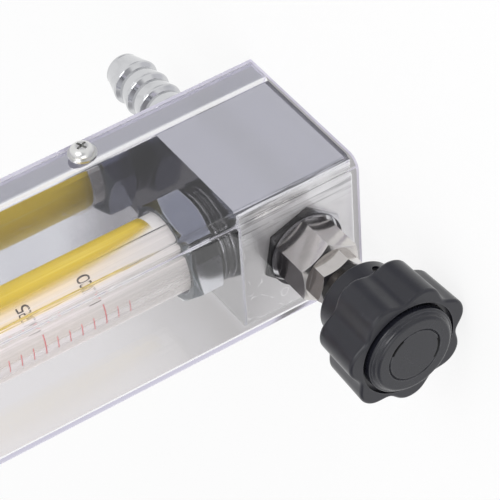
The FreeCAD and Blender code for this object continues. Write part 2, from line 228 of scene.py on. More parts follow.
def join_shaders(tree, mask, first, second):
    made = tree.nodes.new("ShaderNodeMixShader")
    plug(tree, mask, made.inputs[0])
    tree.links.new(first, made.inputs[1])
    tree.links.new(second, made.inputs[2])
    return made.outputs[0]


# Effects that several finishes share

def start_effect(name, inputs):
    group = bpy.data.node_groups.new(name, "ShaderNodeTree")
    for label, kind, value in inputs:
        socket = group.interface.new_socket(name=label, in_out="INPUT", socket_type=kind)
        socket.default_value = value
    group.interface.new_socket(name="Mask", in_out="OUTPUT", socket_type="NodeSocketFloat")
    given = group.nodes.new("NodeGroupInput").outputs
    mask = group.nodes.new("NodeGroupOutput").inputs["Mask"]
    return group, given, mask


def make_smears():
    inputs = [("Scale", "NodeSocketFloat", 60.0), ("Cover", "NodeSocketFloat", 0.5)]
    group, given, mask = start_effect("polish_smears", inputs)
    cloud = noise(group, Scale=given["Scale"], Detail=5.0, Roughness=0.55, Distortion=1.2)
    rise = minus(group, cloud, minus(group, 1.0, given["Cover"]))
    gain = times(group, rise, 3.0)
    group.links.new(smaller(group, larger(group, gain, 0.0), 1.0), mask)
    return group


def make_grain():
    inputs = [("Stretch", "NodeSocketVector", (3000.0, 3000.0, 60.0))]
    group, given, mask = start_effect("drawn_grain", inputs)
    drawn = add(group, "ShaderNodeVectorMath", {"operation": "MULTIPLY"})
    plug(group, part_place(group), drawn.inputs[0])
    plug(group, given["Stretch"], drawn.inputs[1])
    lines = add(group, "ShaderNodeTexNoise", Vector=drawn.outputs[0], Scale=1.0, Detail=3.0, Roughness=0.6)
    group.links.new(lines.outputs["Fac"], mask)
    return group


def make_scratches():
    # A line wherever a cloud passes through its middle value, broken up by a finer cloud.
    inputs = [("Scale", "NodeSocketFloat", 90.0), ("Width", "NodeSocketFloat", 0.02)]
    group, given, mask = start_effect("hair_scratches", inputs)
    away = away_from(group, noise(group, Scale=given["Scale"], Detail=1.0), 0.5)
    line = below(group, away, times(group, given["Width"], 0.12))
    broken = noise(group, Scale=times(group, given["Scale"], 2.7), Detail=2.0)
    group.links.new(times(group, line, spread(group, broken, 0.5, 0.62)), mask)
    return group


def make_dust():
    inputs = [("Scale", "NodeSocketFloat", 700.0), ("Size", "NodeSocketFloat", 0.12)]
    group, given, mask = start_effect("dust_specks", inputs)
    cells = add(group, "ShaderNodeTexVoronoi", Vector=part_place(group), Scale=given["Scale"])
    speck = below(group, cells.outputs["Distance"], given["Size"])
    patchy = noise(group, Scale=times(group, given["Scale"], 0.11), Detail=2.0)
    group.links.new(times(group, speck, spread(group, patchy, 0.52, 0.7)), mask)
    return group


def make_edge_wear_and_light():
    # A mask of the edges: some finishes lighten it as rubbed wear, others use it for a painted highlight and
    # painted shade along the edges.
    group, given, mask = start_effect("edge_wear_and_light", [("Width", "NodeSocketFloat", 0.4 * MM)])
    rounded = add(group, "ShaderNodeBevel", {"samples": 4}, Radius=given["Width"]).outputs["Normal"]
    meet = dot(group, rounded, add(group, "ShaderNodeNewGeometry").outputs["Normal"])
    edge = spread(group, meet, 0.995, 0.90)
    patchy = spread(group, noise(group, Scale=900.0, Detail=3.0), 0.35, 0.6, 0.2, 1.0)
    group.links.new(times(group, edge, patchy), mask)
    return group


def make_thread():
    inputs = [("Along", "NodeSocketVector", (0.0, 1.0, 0.0)), ("Pitch", "NodeSocketFloat", 1.0 * MM)]
    group, given, mask = start_effect("thread_ridges", inputs)
    turns = calc(group, "DIVIDE", dot(group, part_place(group), given["Along"]), given["Pitch"])
    group.links.new(calc(group, "PINGPONG", turns, 0.5), mask)
    return group


SMEARS = make_smears()
GRAIN = make_grain()
SCRATCHES = make_scratches()
DUST = make_dust()
EDGES = make_edge_wear_and_light()
THREAD = make_thread()


def effect(tree, group, **inputs):
    return add(tree, "ShaderNodeGroup", {"node_tree": group}, **inputs).outputs["Mask"]


# Finishes

def start_finish(name):
    finish = bpy.data.materials.new(name)
    finish.use_nodes = True
    finish.node_tree.nodes.clear()
    return finish, finish.node_tree


def close_finish(finish, shader):
    end = finish.node_tree.nodes.new("ShaderNodeOutputMaterial")
    finish.node_tree.links.new(shader, end.inputs["Surface"])
    return finish


def clear_body(finish, shader, trapped):
    # Light for the pieces inside passes straight through the clear walls, and what runs on
    # inside a wall comes out as the colour of light that is trapped there.
    tree = finish.node_tree
    path = tree.nodes.new("ShaderNodeLightPath").outputs
    body = join_shaders(tree, above(tree, path["Glossy Depth"], 2.5), shader, glow(tree, trapped))
    passing = larger(tree, path["Is Shadow Ray"], path["Is Diffuse Ray"])
    clear = add(tree, "ShaderNodeBsdfTransparent", Color=plain(0.99, 0.99, 0.992)).outputs[0]
    return close_finish(finish, join_shaders(tree, passing, body, clear))


def mirror_sheet():
    # The plate is painted darker beside the blocks, as a painted reflection of them, and its bends
    # carry a painted highlight.
    plate_half = 15.0 * MM
    block_shade_start, block_shade_end = 43.0 * MM, 62.0 * MM
    finish, tree = start_finish("mirror_sheet")
    smears = effect(tree, SMEARS, Scale=38.0, Cover=0.55)
    scratches = effect(tree, SCRATCHES, Scale=70.0, Width=0.05)
    colour = tint(tree, smears, plain(0.66, 0.665, 0.70), plain(0.60, 0.605, 0.65))
    shade_beside_block = spread(tree, from_middle(tree), block_shade_start, block_shade_end, soft=True)
    on_plate = below(tree, unsigned(tree, split(tree, part_place(tree))["X"]), plate_half)
    colour = tint(tree, times(tree, shade_beside_block, on_plate), colour, plain(0.33, 0.325, 0.345))
    facing = facing_of(tree)
    slant = times(tree, minus(tree, unsigned(tree, facing["X"]), facing["Y"]), math.sqrt(0.5))
    colour = tint(tree, spread(tree, slant, 0.88, 0.95), colour, plain(0.98, 0.98, 0.98))
    rough = plus(tree, spread(tree, smears, 0.0, 1.0, 0.035, 0.10), times(tree, scratches, 0.12))
    wave = relief(tree, noise(tree, Scale=45.0, Detail=1.0), 0.12, 0.6 * MM)
    shader = principled(tree, Base_Color=colour, Roughness=rough, Metallic=1.0, Normal=wave)
    return close_finish(finish, shader)


def clear_acrylic():
    # The sawn edges are milky, the bends turn milky where seen edge-on as a painted sheen, and
    # the milk glows faintly as painted light. The wall of the valve's hole lets through only a grey
    # share of the light, as painted shade.
    valve_hole_r = 9.9 * MM
    valve_shade_outer, valve_shade_inner = 18.8 * MM, 18.0 * MM
    bend_side_start, bend_side_end = 16.0 * MM, 18.0 * MM
    bend_front_start, bend_front_end = -40.0 * MM, -42.0 * MM
    finish, tree = start_finish("clear_acrylic")
    place = split(tree, part_place(tree))
    facing = facing_of(tree)
    end_cut = above(tree, unsigned(tree, facing["Z"]), 0.9)
    back_cut = above(tree, unsigned(tree, facing["Y"]), 0.9)
    at_back = above(tree, place["Y"], -1.0 * MM)
    cut = larger(tree, end_cut, times(tree, back_cut, at_back))
    side = spread(tree, unsigned(tree, place["X"]), bend_side_start, bend_side_end, soft=True)
    front = spread(tree, place["Y"], bend_front_start, bend_front_end, soft=True)
    bend = times(tree, side, front)
    scratches = effect(tree, SCRATCHES, Scale=55.0, Width=0.03)
    streaks = effect(tree, GRAIN, Stretch=(900.0, 900.0, 28.0))
    drawn_bend = relief(tree, times(tree, bend, streaks), 0.35, 0.4 * MM)
    sheet = principled(tree, Base_Color=plain(0.972, 0.969, 0.976), Roughness=times(tree, scratches, 0.08),
                       IOR=1.49, Transmission_Weight=1.0, Normal=drawn_bend)
    smears = effect(tree, SMEARS, Scale=60.0, Cover=0.5)
    milk_colour = tint(tree, smears, linear(206, 202, 216), linear(216, 212, 226))
    milk = principled(tree, Base_Color=milk_colour, Roughness=0.35,
                      Emission_Color=linear(176, 172, 190), Emission_Strength=0.25)
    edge_on = tree.nodes.new("ShaderNodeLayerWeight").outputs["Facing"]
    milky_bend = times(tree, spread(tree, edge_on, 0.62, 0.90, 0.0, 0.85, True), bend)
    milky = larger(tree, times(tree, cut, 0.82), milky_bend)
    wall = join_shaders(tree, milky, sheet, milk)
    from_valve = flat_length(tree, X=place["X"], Z=place["Z"])
    round_wall = below(tree, unsigned(tree, facing["Y"]), 0.5)
    hole = times(tree, below(tree, from_valve, valve_hole_r), round_wall)
    shaded = add(tree, "ShaderNodeBsdfTransparent", Color=plain(0.42, 0.42, 0.44)).outputs[0]
    # Near the valve the light trapped in the walls is painted dark grey, as painted shade.
    near_valve = spread(tree, from_valve, valve_shade_outer, valve_shade_inner)
    trapped = tint(tree, near_valve, linear(202, 199, 216), linear(112, 110, 112))
    return clear_body(finish, join_shaders(tree, hole, wall, shaded), trapped)


def tube_glass():
    finish, tree = start_finish("tube_glass")
    smears = effect(tree, SMEARS, Scale=120.0, Cover=0.42)
    drawn = relief(tree, effect(tree, GRAIN, Stretch=(500.0, 500.0, 6.0)), 0.05, 0.3 * MM)
    glass = principled(tree, Base_Color=plain(0.985, 0.99, 0.985), Roughness=times(tree, smears, 0.03),
                       IOR=1.47, Transmission_Weight=1.0, Normal=drawn)
    return clear_body(finish, glass, linear(232, 228, 226))


def bright_metal(name, colour, dull, rough, stretch, wear=0.0, upward_shade=None):
    # wear is how far the edges are rubbed bright, and the last argument the colour of painted shade on what
    # faces upwards.
    finish, tree = start_finish(name)
    smears = effect(tree, SMEARS, Scale=140.0, Cover=0.5)
    grain = effect(tree, GRAIN, Stretch=stretch)
    shade = tint(tree, smears, colour, dull)
    if upward_shade:
        # Painted shade on what faces upwards.
        shade = tint(tree, spread(tree, facing_of(tree)["Z"], 0.60, 0.94), shade, upward_shade)
    if wear:
        edge = effect(tree, EDGES, Width=0.3 * MM)
        shade = tint(tree, times(tree, edge, wear), shade, plain(0.85, 0.85, 0.86))
    gloss = plus(tree, spread(tree, smears, 0.0, 1.0, *rough), times(tree, grain, 0.05))
    drawn = relief(tree, grain, 0.08, 0.1 * MM)
    shader = principled(tree, Base_Color=shade, Roughness=gloss, Metallic=1.0, Normal=drawn)
    return close_finish(finish, shader)


def threaded_chrome():
    # The thread's pitch shows on the stud, which ends where the ribbed tail begins.
    stud_end = 10.8 * MM
    finish, tree = start_finish("threaded_chrome")
    smears = effect(tree, SMEARS, Scale=150.0, Cover=0.5)
    on_stud = below(tree, split(tree, part_place(tree))["Y"], stud_end)
    thread = times(tree, effect(tree, THREAD, Along=(0.0, 1.0, 0.0), Pitch=1.0 * MM), on_stud)
    colour = tint(tree, smears, plain(0.60, 0.605, 0.62), plain(0.42, 0.425, 0.44))
    rough = spread(tree, smears, 0.0, 1.0, 0.10, 0.22)
    ridges = relief(tree, thread, 1.0, 0.6 * MM)
    shader = principled(tree, Base_Color=colour, Roughness=rough, Metallic=1.0, Normal=ridges)
    return close_finish(finish, shader)


def wiped_front(tree, swirls):
    # The front face, with painted shade darkening it towards the tube, and streaks of painted
    # highlight and painted shade along its right edge.
    tube_side, outer_side = 72.0 * MM, 98.0 * MM
    streak_start, streak_full = 6.0 * MM, 14.0 * MM
    shade_towards_tube = spread(tree, from_middle(tree), tube_side, outer_side, 1.0, 0.0)
    clean = tint(tree, shade_towards_tube, plain(0.78, 0.77, 0.775), plain(0.42, 0.41, 0.412))
    wiped_on = tint(tree, shade_towards_tube, plain(0.52, 0.52, 0.525), plain(0.30, 0.295, 0.30))
    shade = tint(tree, swirls, clean, wiped_on)
    scratches = effect(tree, SCRATCHES, Scale=160.0, Width=0.09)
    shade = tint(tree, times(tree, scratches, 0.5), shade, plain(0.90, 0.90, 0.90))
    streaks = effect(tree, GRAIN, Stretch=(1500.0, 1500.0, 45.0))
    near_edge = spread(tree, split(tree, part_place(tree))["X"], streak_start, streak_full, 0.0, 0.85)
    light_streaks = times(tree, near_edge, spread(tree, streaks, 0.40, 0.54))
    dark_streaks = times(tree, near_edge, spread(tree, streaks, 0.42, 0.34))
    shade = tint(tree, light_streaks, shade, plain(0.97, 0.97, 0.98))
    return tint(tree, dark_streaks, shade, plain(0.24, 0.24, 0.26))


def block_outline(tree, facing):
    # A line of painted shade on the side faces, where they meet the front face and the outer end.
    front_start, front_full = -39.1 * MM, -39.4 * MM
    end_start, end_full = 103.8 * MM, 104.1 * MM
    side_face = above(tree, unsigned(tree, facing["X"]), 0.97)
    front_line = spread(tree, split(tree, part_place(tree))["Y"], front_start, front_full, 0.0, 0.9)
    end_line = spread(tree, from_middle(tree), end_start, end_full, 0.0, 0.9)
    return times(tree, side_face, larger(tree, front_line, end_line))


def polished_block():
    # The side faces are evenly polished; the front face is wiped with swirls and scratched.
    inner_face_reach = 80.0 * MM
    line_dark = plain(0.10, 0.10, 0.115)
    finish, tree = start_finish("polished_block")
    facing = facing_of(tree)
    wiped = spread(tree, facing["Y"], -0.6, -0.9)
    swirls = effect(tree, SMEARS, Scale=52.0, Cover=0.52)
    smears = effect(tree, SMEARS, Scale=140.0, Cover=0.5)
    edge = effect(tree, EDGES, Width=0.3 * MM)
    side = tint(tree, smears, plain(0.735, 0.74, 0.785), plain(0.70, 0.705, 0.75))
    # rim is painted light on the edges: a dark line of painted shade on the side faces and a painted
    # highlight on the front face.
    rim = tint(tree, wiped, line_dark, plain(0.98, 0.98, 0.98))
    shade = tint(tree, wiped, side, wiped_front(tree, swirls))
    shade = tint(tree, times(tree, edge, 0.85), shade, rim)
    # The end faces towards the tube are painted darker, as painted shade.
    end_face = above(tree, unsigned(tree, facing["Z"]), 0.9)
    inner_face = times(tree, end_face, below(tree, from_middle(tree), inner_face_reach))
    shade = tint(tree, inner_face, shade, plain(0.37, 0.365, 0.365))
    shade = tint(tree, block_outline(tree, facing), shade, line_dark)
    rough = plus(tree, spread(tree, smears, 0.0, 1.0, 0.10, 0.16), times(tree, wiped, 0.24))
    metallic = spread(tree, wiped, 0.0, 1.0, 1.0, 0.6)
    swirled = relief(tree, times(tree, swirls, wiped), 0.10, 0.2 * MM)
    shader = principled(tree, Base_Color=shade, Roughness=rough, Metallic=metallic, Normal=swirled)
    return close_finish(finish, shader)


def chrome_with_painted_light():
    # Chrome plate, coloured dark as a painted reflection of the inside of the meter. Its thread is
    # painted shade with two turns of painted highlight, its front flats carry deeper painted shade
    # and one low flat a painted highlight. The end towards the tube is a painted dark cone of shade
    # with a painted highlight on its rim.
    hexagon_start, hexagon_end = 63.25 * MM, 71.1 * MM
    first_turn_at, last_turn_at = 72.2 * MM, 73.8 * MM
    cone_inner_r, cone_slope, cone_on_front = 11.5 * MM, 0.22, 1.1 * MM
    rim_outer, rim_inner = 0.35 * MM, 0.15 * MM
    low_flat_start, low_flat_full = 4.6 * MM, 4.0 * MM
    finish, tree = start_finish("chrome_with_painted_light")
    place = split(tree, part_place(tree))
    facing = facing_of(tree)
    smears = effect(tree, SMEARS, Scale=120.0, Cover=0.5)
    edge = effect(tree, EDGES, Width=0.35 * MM)
    along = from_middle(tree)
    from_axis = flat_length(tree, X=place["X"], Y=minus(tree, place["Y"], TUBE_Y))

    on_thread = above(tree, along, hexagon_end)
    first_turn = below(tree, away_from(tree, along, first_turn_at), 0.22 * MM)
    last_turn = below(tree, away_from(tree, along, last_turn_at), 0.12 * MM)
    ridges = larger(tree, times(tree, first_turn, 0.55), times(tree, last_turn, 0.4))

    frontal = spread(tree, facing["Y"], -0.86, -0.90)
    cone = plus(tree, hexagon_start, times(tree, minus(tree, from_axis, cone_inner_r), cone_slope))
    cone = plus(tree, cone, times(tree, frontal, cone_on_front))
    past_cone = minus(tree, along, cone)
    on_cone = below(tree, past_cone, 0.0)
    cone_rim = spread(tree, unsigned(tree, past_cone), rim_outer, rim_inner, 0.0, 0.7)
    end_face = spread(tree, unsigned(tree, facing["Z"]), 0.6, 0.9)
    rim_share = minus(tree, spread(tree, frontal, 0.0, 1.0, 0.35, 1.0), end_face)
    cone_rim = times(tree, times(tree, cone_rim, rim_share), minus(tree, 1.0, on_thread))
    faces_low = spread(tree, facing["Y"], -0.90, -0.95)
    low_flat = times(tree, faces_low, spread(tree, place["X"], low_flat_start, low_flat_full, soft=True))

    shade = tint(tree, smears, plain(0.20, 0.21, 0.27), plain(0.29, 0.30, 0.35))
    shade = tint(tree, frontal, shade, tint(tree, smears, plain(0.09, 0.09, 0.11), plain(0.15, 0.15, 0.17)))
    shade = tint(tree, low_flat, shade, plain(0.64, 0.65, 0.68))
    shade = tint(tree, larger(tree, end_face, on_cone), shade, plain(0.085, 0.098, 0.108))
    # The thread is painted dark as shade, with two turns of painted highlight.
    thread = tint(tree, ridges, plain(0.022, 0.022, 0.026), plain(0.70, 0.70, 0.74))
    shade = tint(tree, on_thread, shade, thread)
    # Painted highlight on the cone's rim and along the edges.
    shade = tint(tree, larger(tree, cone_rim, times(tree, edge, 0.7)), shade, plain(0.68, 0.685, 0.71))
    rough = spread(tree, smears, 0.0, 1.0, 0.09, 0.17)
    uneven = relief(tree, smears, 0.06, 0.1 * MM)
    shader = principled(tree, Base_Color=shade, Roughness=rough, Metallic=1.0, Normal=uneven)
    return close_finish(finish, shader)


def valve_nut():
    # The nut is black, lit and shaded by paint: its front face and the sides away from the tube are painted
    # bright as painted light, and the side towards the tube stays black as painted shade.
    finish, tree = start_finish("valve_nut")
    smears = effect(tree, SMEARS, Scale=160.0, Cover=0.5)
    place = split(tree, part_place(tree))
    front_face = below(tree, facing_of(tree)["Y"], -0.9)
    towards_tube = plus(tree, place["Z"], times(tree, place["X"], 0.3))
    far_side = spread(tree, towards_tube, 1.0 * MM, -4.0 * MM, soft=True)
    black = tint(tree, smears, plain(0.020, 0.020, 0.022), plain(0.045, 0.045, 0.048))
    painted_bright = tint(tree, smears, plain(0.60, 0.60, 0.62), plain(0.48, 0.48, 0.50))
    shade = tint(tree, larger(tree, front_face, far_side), black, painted_bright)
    rough = spread(tree, smears, 0.0, 1.0, 0.20, 0.32)
    return close_finish(finish, principled(tree, Base_Color=shade, Roughness=rough, Metallic=1.0))


def cap_arcs(tree):
    # Two short arcs of painted shade on the cap's face, where its round groove shows dark. Their
    # middles and half lengths are angles in radians round the knob's axis.
    arc_r, line_outer, line_inner = 6.6 * MM, 0.42 * MM, 0.26 * MM
    first_middle, first_half = 0.79, 0.33
    second_middle, second_half = -1.76, 0.45
    place = split(tree, part_place(tree))
    from_axis = flat_length(tree, X=place["X"], Z=place["Z"])
    line = spread(tree, away_from(tree, from_axis, arc_r), line_outer, line_inner)
    angle = calc(tree, "ARCTAN2", place["Z"], place["X"])
    first = below(tree, away_from(tree, angle, first_middle), first_half)
    second = below(tree, away_from(tree, angle, second_middle), second_half)
    return times(tree, line, larger(tree, first, second))


def moulded_plastic(name, colour, pale, rough, arcs=False):
    finish, tree = start_finish(name)
    smears = effect(tree, SMEARS, Scale=110.0, Cover=0.5)
    dust = effect(tree, DUST, Scale=900.0, Size=0.10)
    edge = effect(tree, EDGES, Width=0.5 * MM)
    worn = larger(tree, times(tree, edge, 0.35), times(tree, dust, 0.30))
    shade = tint(tree, worn, tint(tree, smears, colour, pale), plain(0.16, 0.16, 0.17))
    gloss = spread(tree, smears, 0.0, 1.0, rough, rough + 0.12)
    if arcs:
        # The arcs are painted shade.
        arc_shade = cap_arcs(tree)
        shade = tint(tree, arc_shade, shade, plain(0.001, 0.001, 0.001))
        gloss = larger(tree, gloss, arc_shade)
    matt = relief(tree, noise(tree, Scale=5200.0, Detail=2.0), 0.12, 0.08 * MM)
    return close_finish(finish, principled(tree, Base_Color=shade, Roughness=gloss, Normal=matt))


def soft_polymer(name, colour, dull, rough):
    finish, tree = start_finish(name)
    shade = tint(tree, effect(tree, SMEARS, Scale=260.0, Cover=0.5), colour, dull)
    fine = relief(tree, noise(tree, Scale=3000.0, Detail=3.0), 0.2, 0.1 * MM)
    return close_finish(finish, principled(tree, Base_Color=shade, Roughness=rough, Normal=fine))


# Finishes of the coats and the print on the glass

VISIBLE_HALF_LENGTH = 63.0 * MM
ENAMEL_HALF_LENGTH = 69.0 * MM
YELLOW_HALF_LENGTH = 60.0 * MM


def enamel():
    # White enamel on the glass; it looks cream where the yellow coat lies behind it, and it glows faintly as
    # painted light coming through from behind.
    cream_full = 30.0 * MM
    bare_start, bare_full = 3.5 * MM, 2.5 * MM
    finish, tree = start_finish("white_enamel")
    from_end = minus(tree, VISIBLE_HALF_LENGTH, from_middle(tree))
    cream = spread(tree, from_end, 0.0, cream_full, soft=True)
    speckle = effect(tree, DUST, Scale=1500.0, Size=0.16)
    shade = tint(tree, cream, linear(208, 205, 204), linear(234, 218, 180))
    shade = tint(tree, times(tree, speckle, 0.20), shade, linear(214, 194, 160))
    behind = spread(tree, turn_round_tube(tree), -0.60, -0.85)
    bare_end = times(tree, behind, spread(tree, from_end, bare_start, bare_full, 0.0, 0.75))
    shader = principled(tree, Base_Color=shade, Roughness=0.35, Alpha=minus(tree, 1.0, bare_end),
                        Emission_Color=shade, Emission_Strength=0.18)
    return close_finish(finish, shader)


def yellow_coat():
    # The coat thins out to nothing towards the front, and sooner near its two ends. Its reach
    # and the stretch over which it thins out are angles in radians round the tube.
    narrowing_length = 12.0 * MM
    full_reach, lost_at_end = 0.18, 0.35
    thin_start, thin_end = -0.30, 0.22
    finish, tree = start_finish("yellow_coat")
    turn = turn_round_tube(tree)
    from_end = minus(tree, YELLOW_HALF_LENGTH, from_middle(tree))
    narrowing = calc(tree, "POWER", math.e, calc(tree, "DIVIDE", from_end, -narrowing_length))
    reach = minus(tree, full_reach, times(tree, narrowing, lost_at_end))
    kept = spread(tree, minus(tree, reach, turn), thin_start, thin_end, soft=True)
    smears = effect(tree, SMEARS, Scale=90.0, Cover=0.5)
    drawn = effect(tree, GRAIN, Stretch=(1500.0, 1500.0, 16.0))
    # The front of the coat is painted darker than the back, as painted shade, and the drawn lines carry
    # streaks of painted highlight.
    front = tint(tree, smears, linear(214, 184, 26), linear(202, 172, 22))
    back = tint(tree, smears, linear(246, 212, 44), linear(232, 196, 34))
    shade = tint(tree, spread(tree, turn, -1.2, -0.7), back, front)
    shade = tint(tree, spread(tree, drawn, 0.52, 0.70, 0.0, 0.6), shade, linear(236, 216, 110))
    rough = spread(tree, drawn, 0.3, 0.7, 0.28, 0.42)
    uneven = relief(tree, drawn, 0.15, 0.1 * MM)
    # The coat also glows faintly, as painted light.
    shader = principled(tree, Base_Color=shade, Roughness=rough, Alpha=kept, Normal=uneven,
                        Emission_Color=shade, Emission_Strength=0.12)
    return close_finish(finish, shader)


def painted_backing_image():
    # A painted sheet: the white backing as the thick glass spreads it over the sides of the tube, glowing
    # faintly as painted light.
    cream_start, cream_full = 2.0 * MM, 34.0 * MM
    finish, tree = start_finish("painted_backing_image")
    turn = turn_round_tube(tree)
    from_end = minus(tree, VISIBLE_HALF_LENGTH, from_middle(tree))
    cream = spread(tree, from_end, cream_start, cream_full, soft=True)
    drawn = effect(tree, GRAIN, Stretch=(1500.0, 1500.0, 10.0))
    frontal = spread(tree, turn, 0.30, 0.85, soft=True)
    warm = tint(tree, frontal, linear(232, 212, 178), linear(226, 219, 220))
    shade = tint(tree, cream, linear(208, 203, 201), warm)
    film = spread(tree, turn, 0.75, 1.25, 0.82, 0.36, True)
    film = plus(tree, film, spread(tree, drawn, 0.35, 0.65, -0.08, 0.08))
    shader = principled(tree, Base_Color=shade, Roughness=0.30, Alpha=film,
                        Emission_Color=shade, Emission_Strength=0.18)
    return close_finish(finish, shader)


def scale_ink(name, colour, thin):
    # The print is worn, and fades a little near the two ends of the scale.
    fade_start, fade_full = 36.0 * MM, 48.0 * MM
    finish, tree = start_finish(name)
    worn = spread(tree, noise(tree, Scale=2600.0, Detail=4.0), 0.42, 0.62)
    kept = spread(tree, from_middle(tree), fade_start, fade_full, 1.0, 0.55, True)
    shade = tint(tree, worn, colour, thin)
    return close_finish(finish, principled(tree, Base_Color=shade, Roughness=0.45, Alpha=kept))


def dress(finish, *names):
    for name in names:
        for slot in nodes[name].material_slots:
            slot.material = finish


# Coats and print on the glass tube

def on_tube(radius, azimuth, height):
    # A point at an angle in degrees round the tube and a height above the meter's lower end.
    turn = math.radians(azimuth)
    return Vector((radius * math.cos(turn), TUBE_Y + radius * math.sin(turn), LOWER_END + height))


def add_piece(name, points, faces, finish):
    mesh = bpy.data.meshes.new(name)
    mesh.from_pydata([tuple(p) for p in points], [], faces)
    mesh.validate()
    mesh.materials.append(finish)
    piece = bpy.data.objects.new(name, mesh)
    bpy.context.scene.collection.objects.link(piece)
    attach(piece, "housing")
    return piece


def tube_coat(name, finish, lift, turns, half_length, corner):
    # A thin curved coat round part of the tube. lift is how far its two faces stand off the
    # glass, turns are the angles in degrees at which it starts and ends, and corner is the
    # radius of its rounded corners.
    columns = 96
    rows = 48
    start, end = turns
    outer_r = TUBE_R + lift[1]
    low = MIDDLE_Z - LOWER_END - half_length
    high = MIDDLE_Z - LOWER_END + half_length
    points = []
    for radius in (TUBE_R + lift[0], outer_r):
        for i in range(columns + 1):
            azimuth = start + (end - start) * i / columns
            side = min(i, columns - i) / columns * math.radians(end - start) * outer_r
            cut = 0.0
            if side < corner:
                cut = corner - math.sqrt(corner ** 2 - (corner - side) ** 2)
            for j in range(rows + 1):
                height = low + cut + (high - low - 2 * cut) * j / rows
                points.append(on_tube(radius, azimuth, height))
    layer = (columns + 1) * (rows + 1)
    faces = []
    for i in range(columns):
        for j in range(rows):
            a = i * (rows + 1) + j
            b = a + rows + 1
            faces.append((a, a + 1, b + 1, b))
            faces.append((layer + a, layer + b, layer + b + 1, layer + a + 1))
        for j in (0, rows):
            a = i * (rows + 1) + j
            b = a + rows + 1
            rim = (a, b, layer + b, layer + a)
            faces.append(rim if j == 0 else rim[::-1])
    for j in range(rows):
        for i in (0, columns):
            a = i * (rows + 1) + j
            rim = (a, layer + a, layer + a + 1, a + 1)
            faces.append(rim if i == 0 else rim[::-1])
    piece = add_piece(name, points, faces, finish)
    for face in piece.data.polygons:
        face.use_smooth = True


TICKS = 28
TICK_STEP = 3.2 * MM
FIRST_TICK = 57.9 * MM
FIRST_LONG_TICK = 2
TICKS_A_FIGURE = 5


def tick_height(number):
    return FIRST_TICK + TICK_STEP * number


def scale_ticks(finish):
    # One strip for each graduation, every fifth one longer and thicker.
    steps = 8
    start, short_end, long_end = -98.0, -77.0, -64.0
    short_half_line, long_half_line = 0.13 * MM, 0.16 * MM
    ink_under, ink_over = 0.004 * MM, 0.03 * MM
    points = []
    faces = []
    for k in range(TICKS):
        is_long = k % TICKS_A_FIGURE == FIRST_LONG_TICK
        end = long_end if is_long else short_end
        half_line = long_half_line if is_long else short_half_line
        first = len(points)
        for i in range(steps + 1):
            azimuth = start + (end - start) * i / steps
            for lift in (ink_under, ink_over):
                for edge in (-half_line, half_line):
                    points.append(on_tube(TUBE_R + lift, azimuth, tick_height(k) + edge))
            if i:
                a = len(points) - 8
                b = a + 4
                faces += [(a, b, b + 1, a + 1), (a + 2, a + 3, b + 3, b + 2)]
                faces += [(a, a + 2, b + 2, b), (a + 1, b + 1, b + 3, a + 3)]
        last = len(points) - 4
        faces += [(first, first + 1, first + 3, first + 2), (last, last + 2, last + 3, last + 1)]
    add_piece("scale_ticks", points, faces, finish)


def flat_text(body, size, spacing, thickness):
    text = bpy.data.curves.new("figure", "FONT")
    text.body = body
    text.size = size
    text.space_character = spacing
    text.extrude = thickness
    holder = bpy.data.objects.new("figure", text)
    bpy.context.scene.collection.objects.link(holder)
    bpy.context.view_layer.update()
    mesh = bpy.data.meshes.new_from_object(holder.evaluated_get(bpy.context.evaluated_depsgraph_get()))
    bpy.data.objects.remove(holder)
    bpy.data.curves.remove(text)
    return mesh


def scale_figures(finish):
    # The figures stand beside every long graduation and follow the tube's curve.
    figures = 6
    start_turn = -62.0
    above_tick = 0.1 * MM
    lift = 0.02 * MM
    points = []
    faces = []
    for k in range(figures):
        figure = flat_text(f"{1.0 + 0.5 * k:.1f}", 4.7 * MM, 1.2, 0.015 * MM)
        foot = tick_height(FIRST_LONG_TICK + TICKS_A_FIGURE * k) + above_tick
        base = len(points)
        for vertex in figure.vertices:
            azimuth = start_turn + math.degrees(vertex.co.x / TUBE_R)
            points.append(on_tube(TUBE_R + lift + vertex.co.z, azimuth, foot + vertex.co.y))
        faces += [tuple(base + v for v in face.vertices) for face in figure.polygons]
        bpy.data.meshes.remove(figure)
    add_piece("scale_figures", points, faces, finish)


# Studio

# The darker parts of the studio that the blocks, the sheet and the nuts' flats mirror, each as a
# direction, the two angles in degrees at which it is full and at which it ends, and a shade.
MIRRORED_PATCHES = (
    ((0.69, 0.62, -0.37), 14.0, 26.0, 0.62),
    ((0.66, -0.62, 0.44), 18.0, 34.0, 0.46),
    ((0.05, -0.62, -0.79), 18.0, 34.0, 0.80),
    ((-0.69, -0.62, 0.37), 16.0, 32.0, 0.45),
)


def patch_of_shade(tree, room, direction, inner, outer, shade):
    place = tree.nodes.new("ShaderNodeTexCoord").outputs["Generated"]
    towards = dot(tree, place, Vector(direction).normalized())
    full = math.cos(math.radians(inner))
    gone = math.cos(math.radians(outer))
    mask = spread(tree, towards, gone, full, soft=True)
    return tint(tree, mask, room, plain(shade, shade, shade * 1.04))


def reflected_mask(tree, path):
    return smaller(tree, path["Glossy Depth"], 1.0)


def seen_mask(tree, path):
    straight = larger(tree, path["Is Camera Ray"], path["Is Transmission Ray"])
    return larger(tree, straight, path["Is Glossy Ray"])


def set_world():
    world = bpy.data.worlds.new("studio")
    world.use_nodes = True
    tree = world.node_tree
    tree.nodes.clear()
    path = tree.nodes.new("ShaderNodeLightPath").outputs
    room = WHITE
    for direction, inner, outer, shade in MIRRORED_PATCHES:
        room = patch_of_shade(tree, room, direction, inner, outer, shade)
    lit = tint(tree, seen_mask(tree, path), plain(0.78, 0.78, 0.79), WHITE)
    colour = tint(tree, reflected_mask(tree, path), lit, room)
    light = add(tree, "ShaderNodeBackground", Color=colour, Strength=1.0).outputs[0]
    tree.links.new(light, tree.nodes.new("ShaderNodeOutputWorld").inputs["Surface"])
    bpy.context.scene.world = world


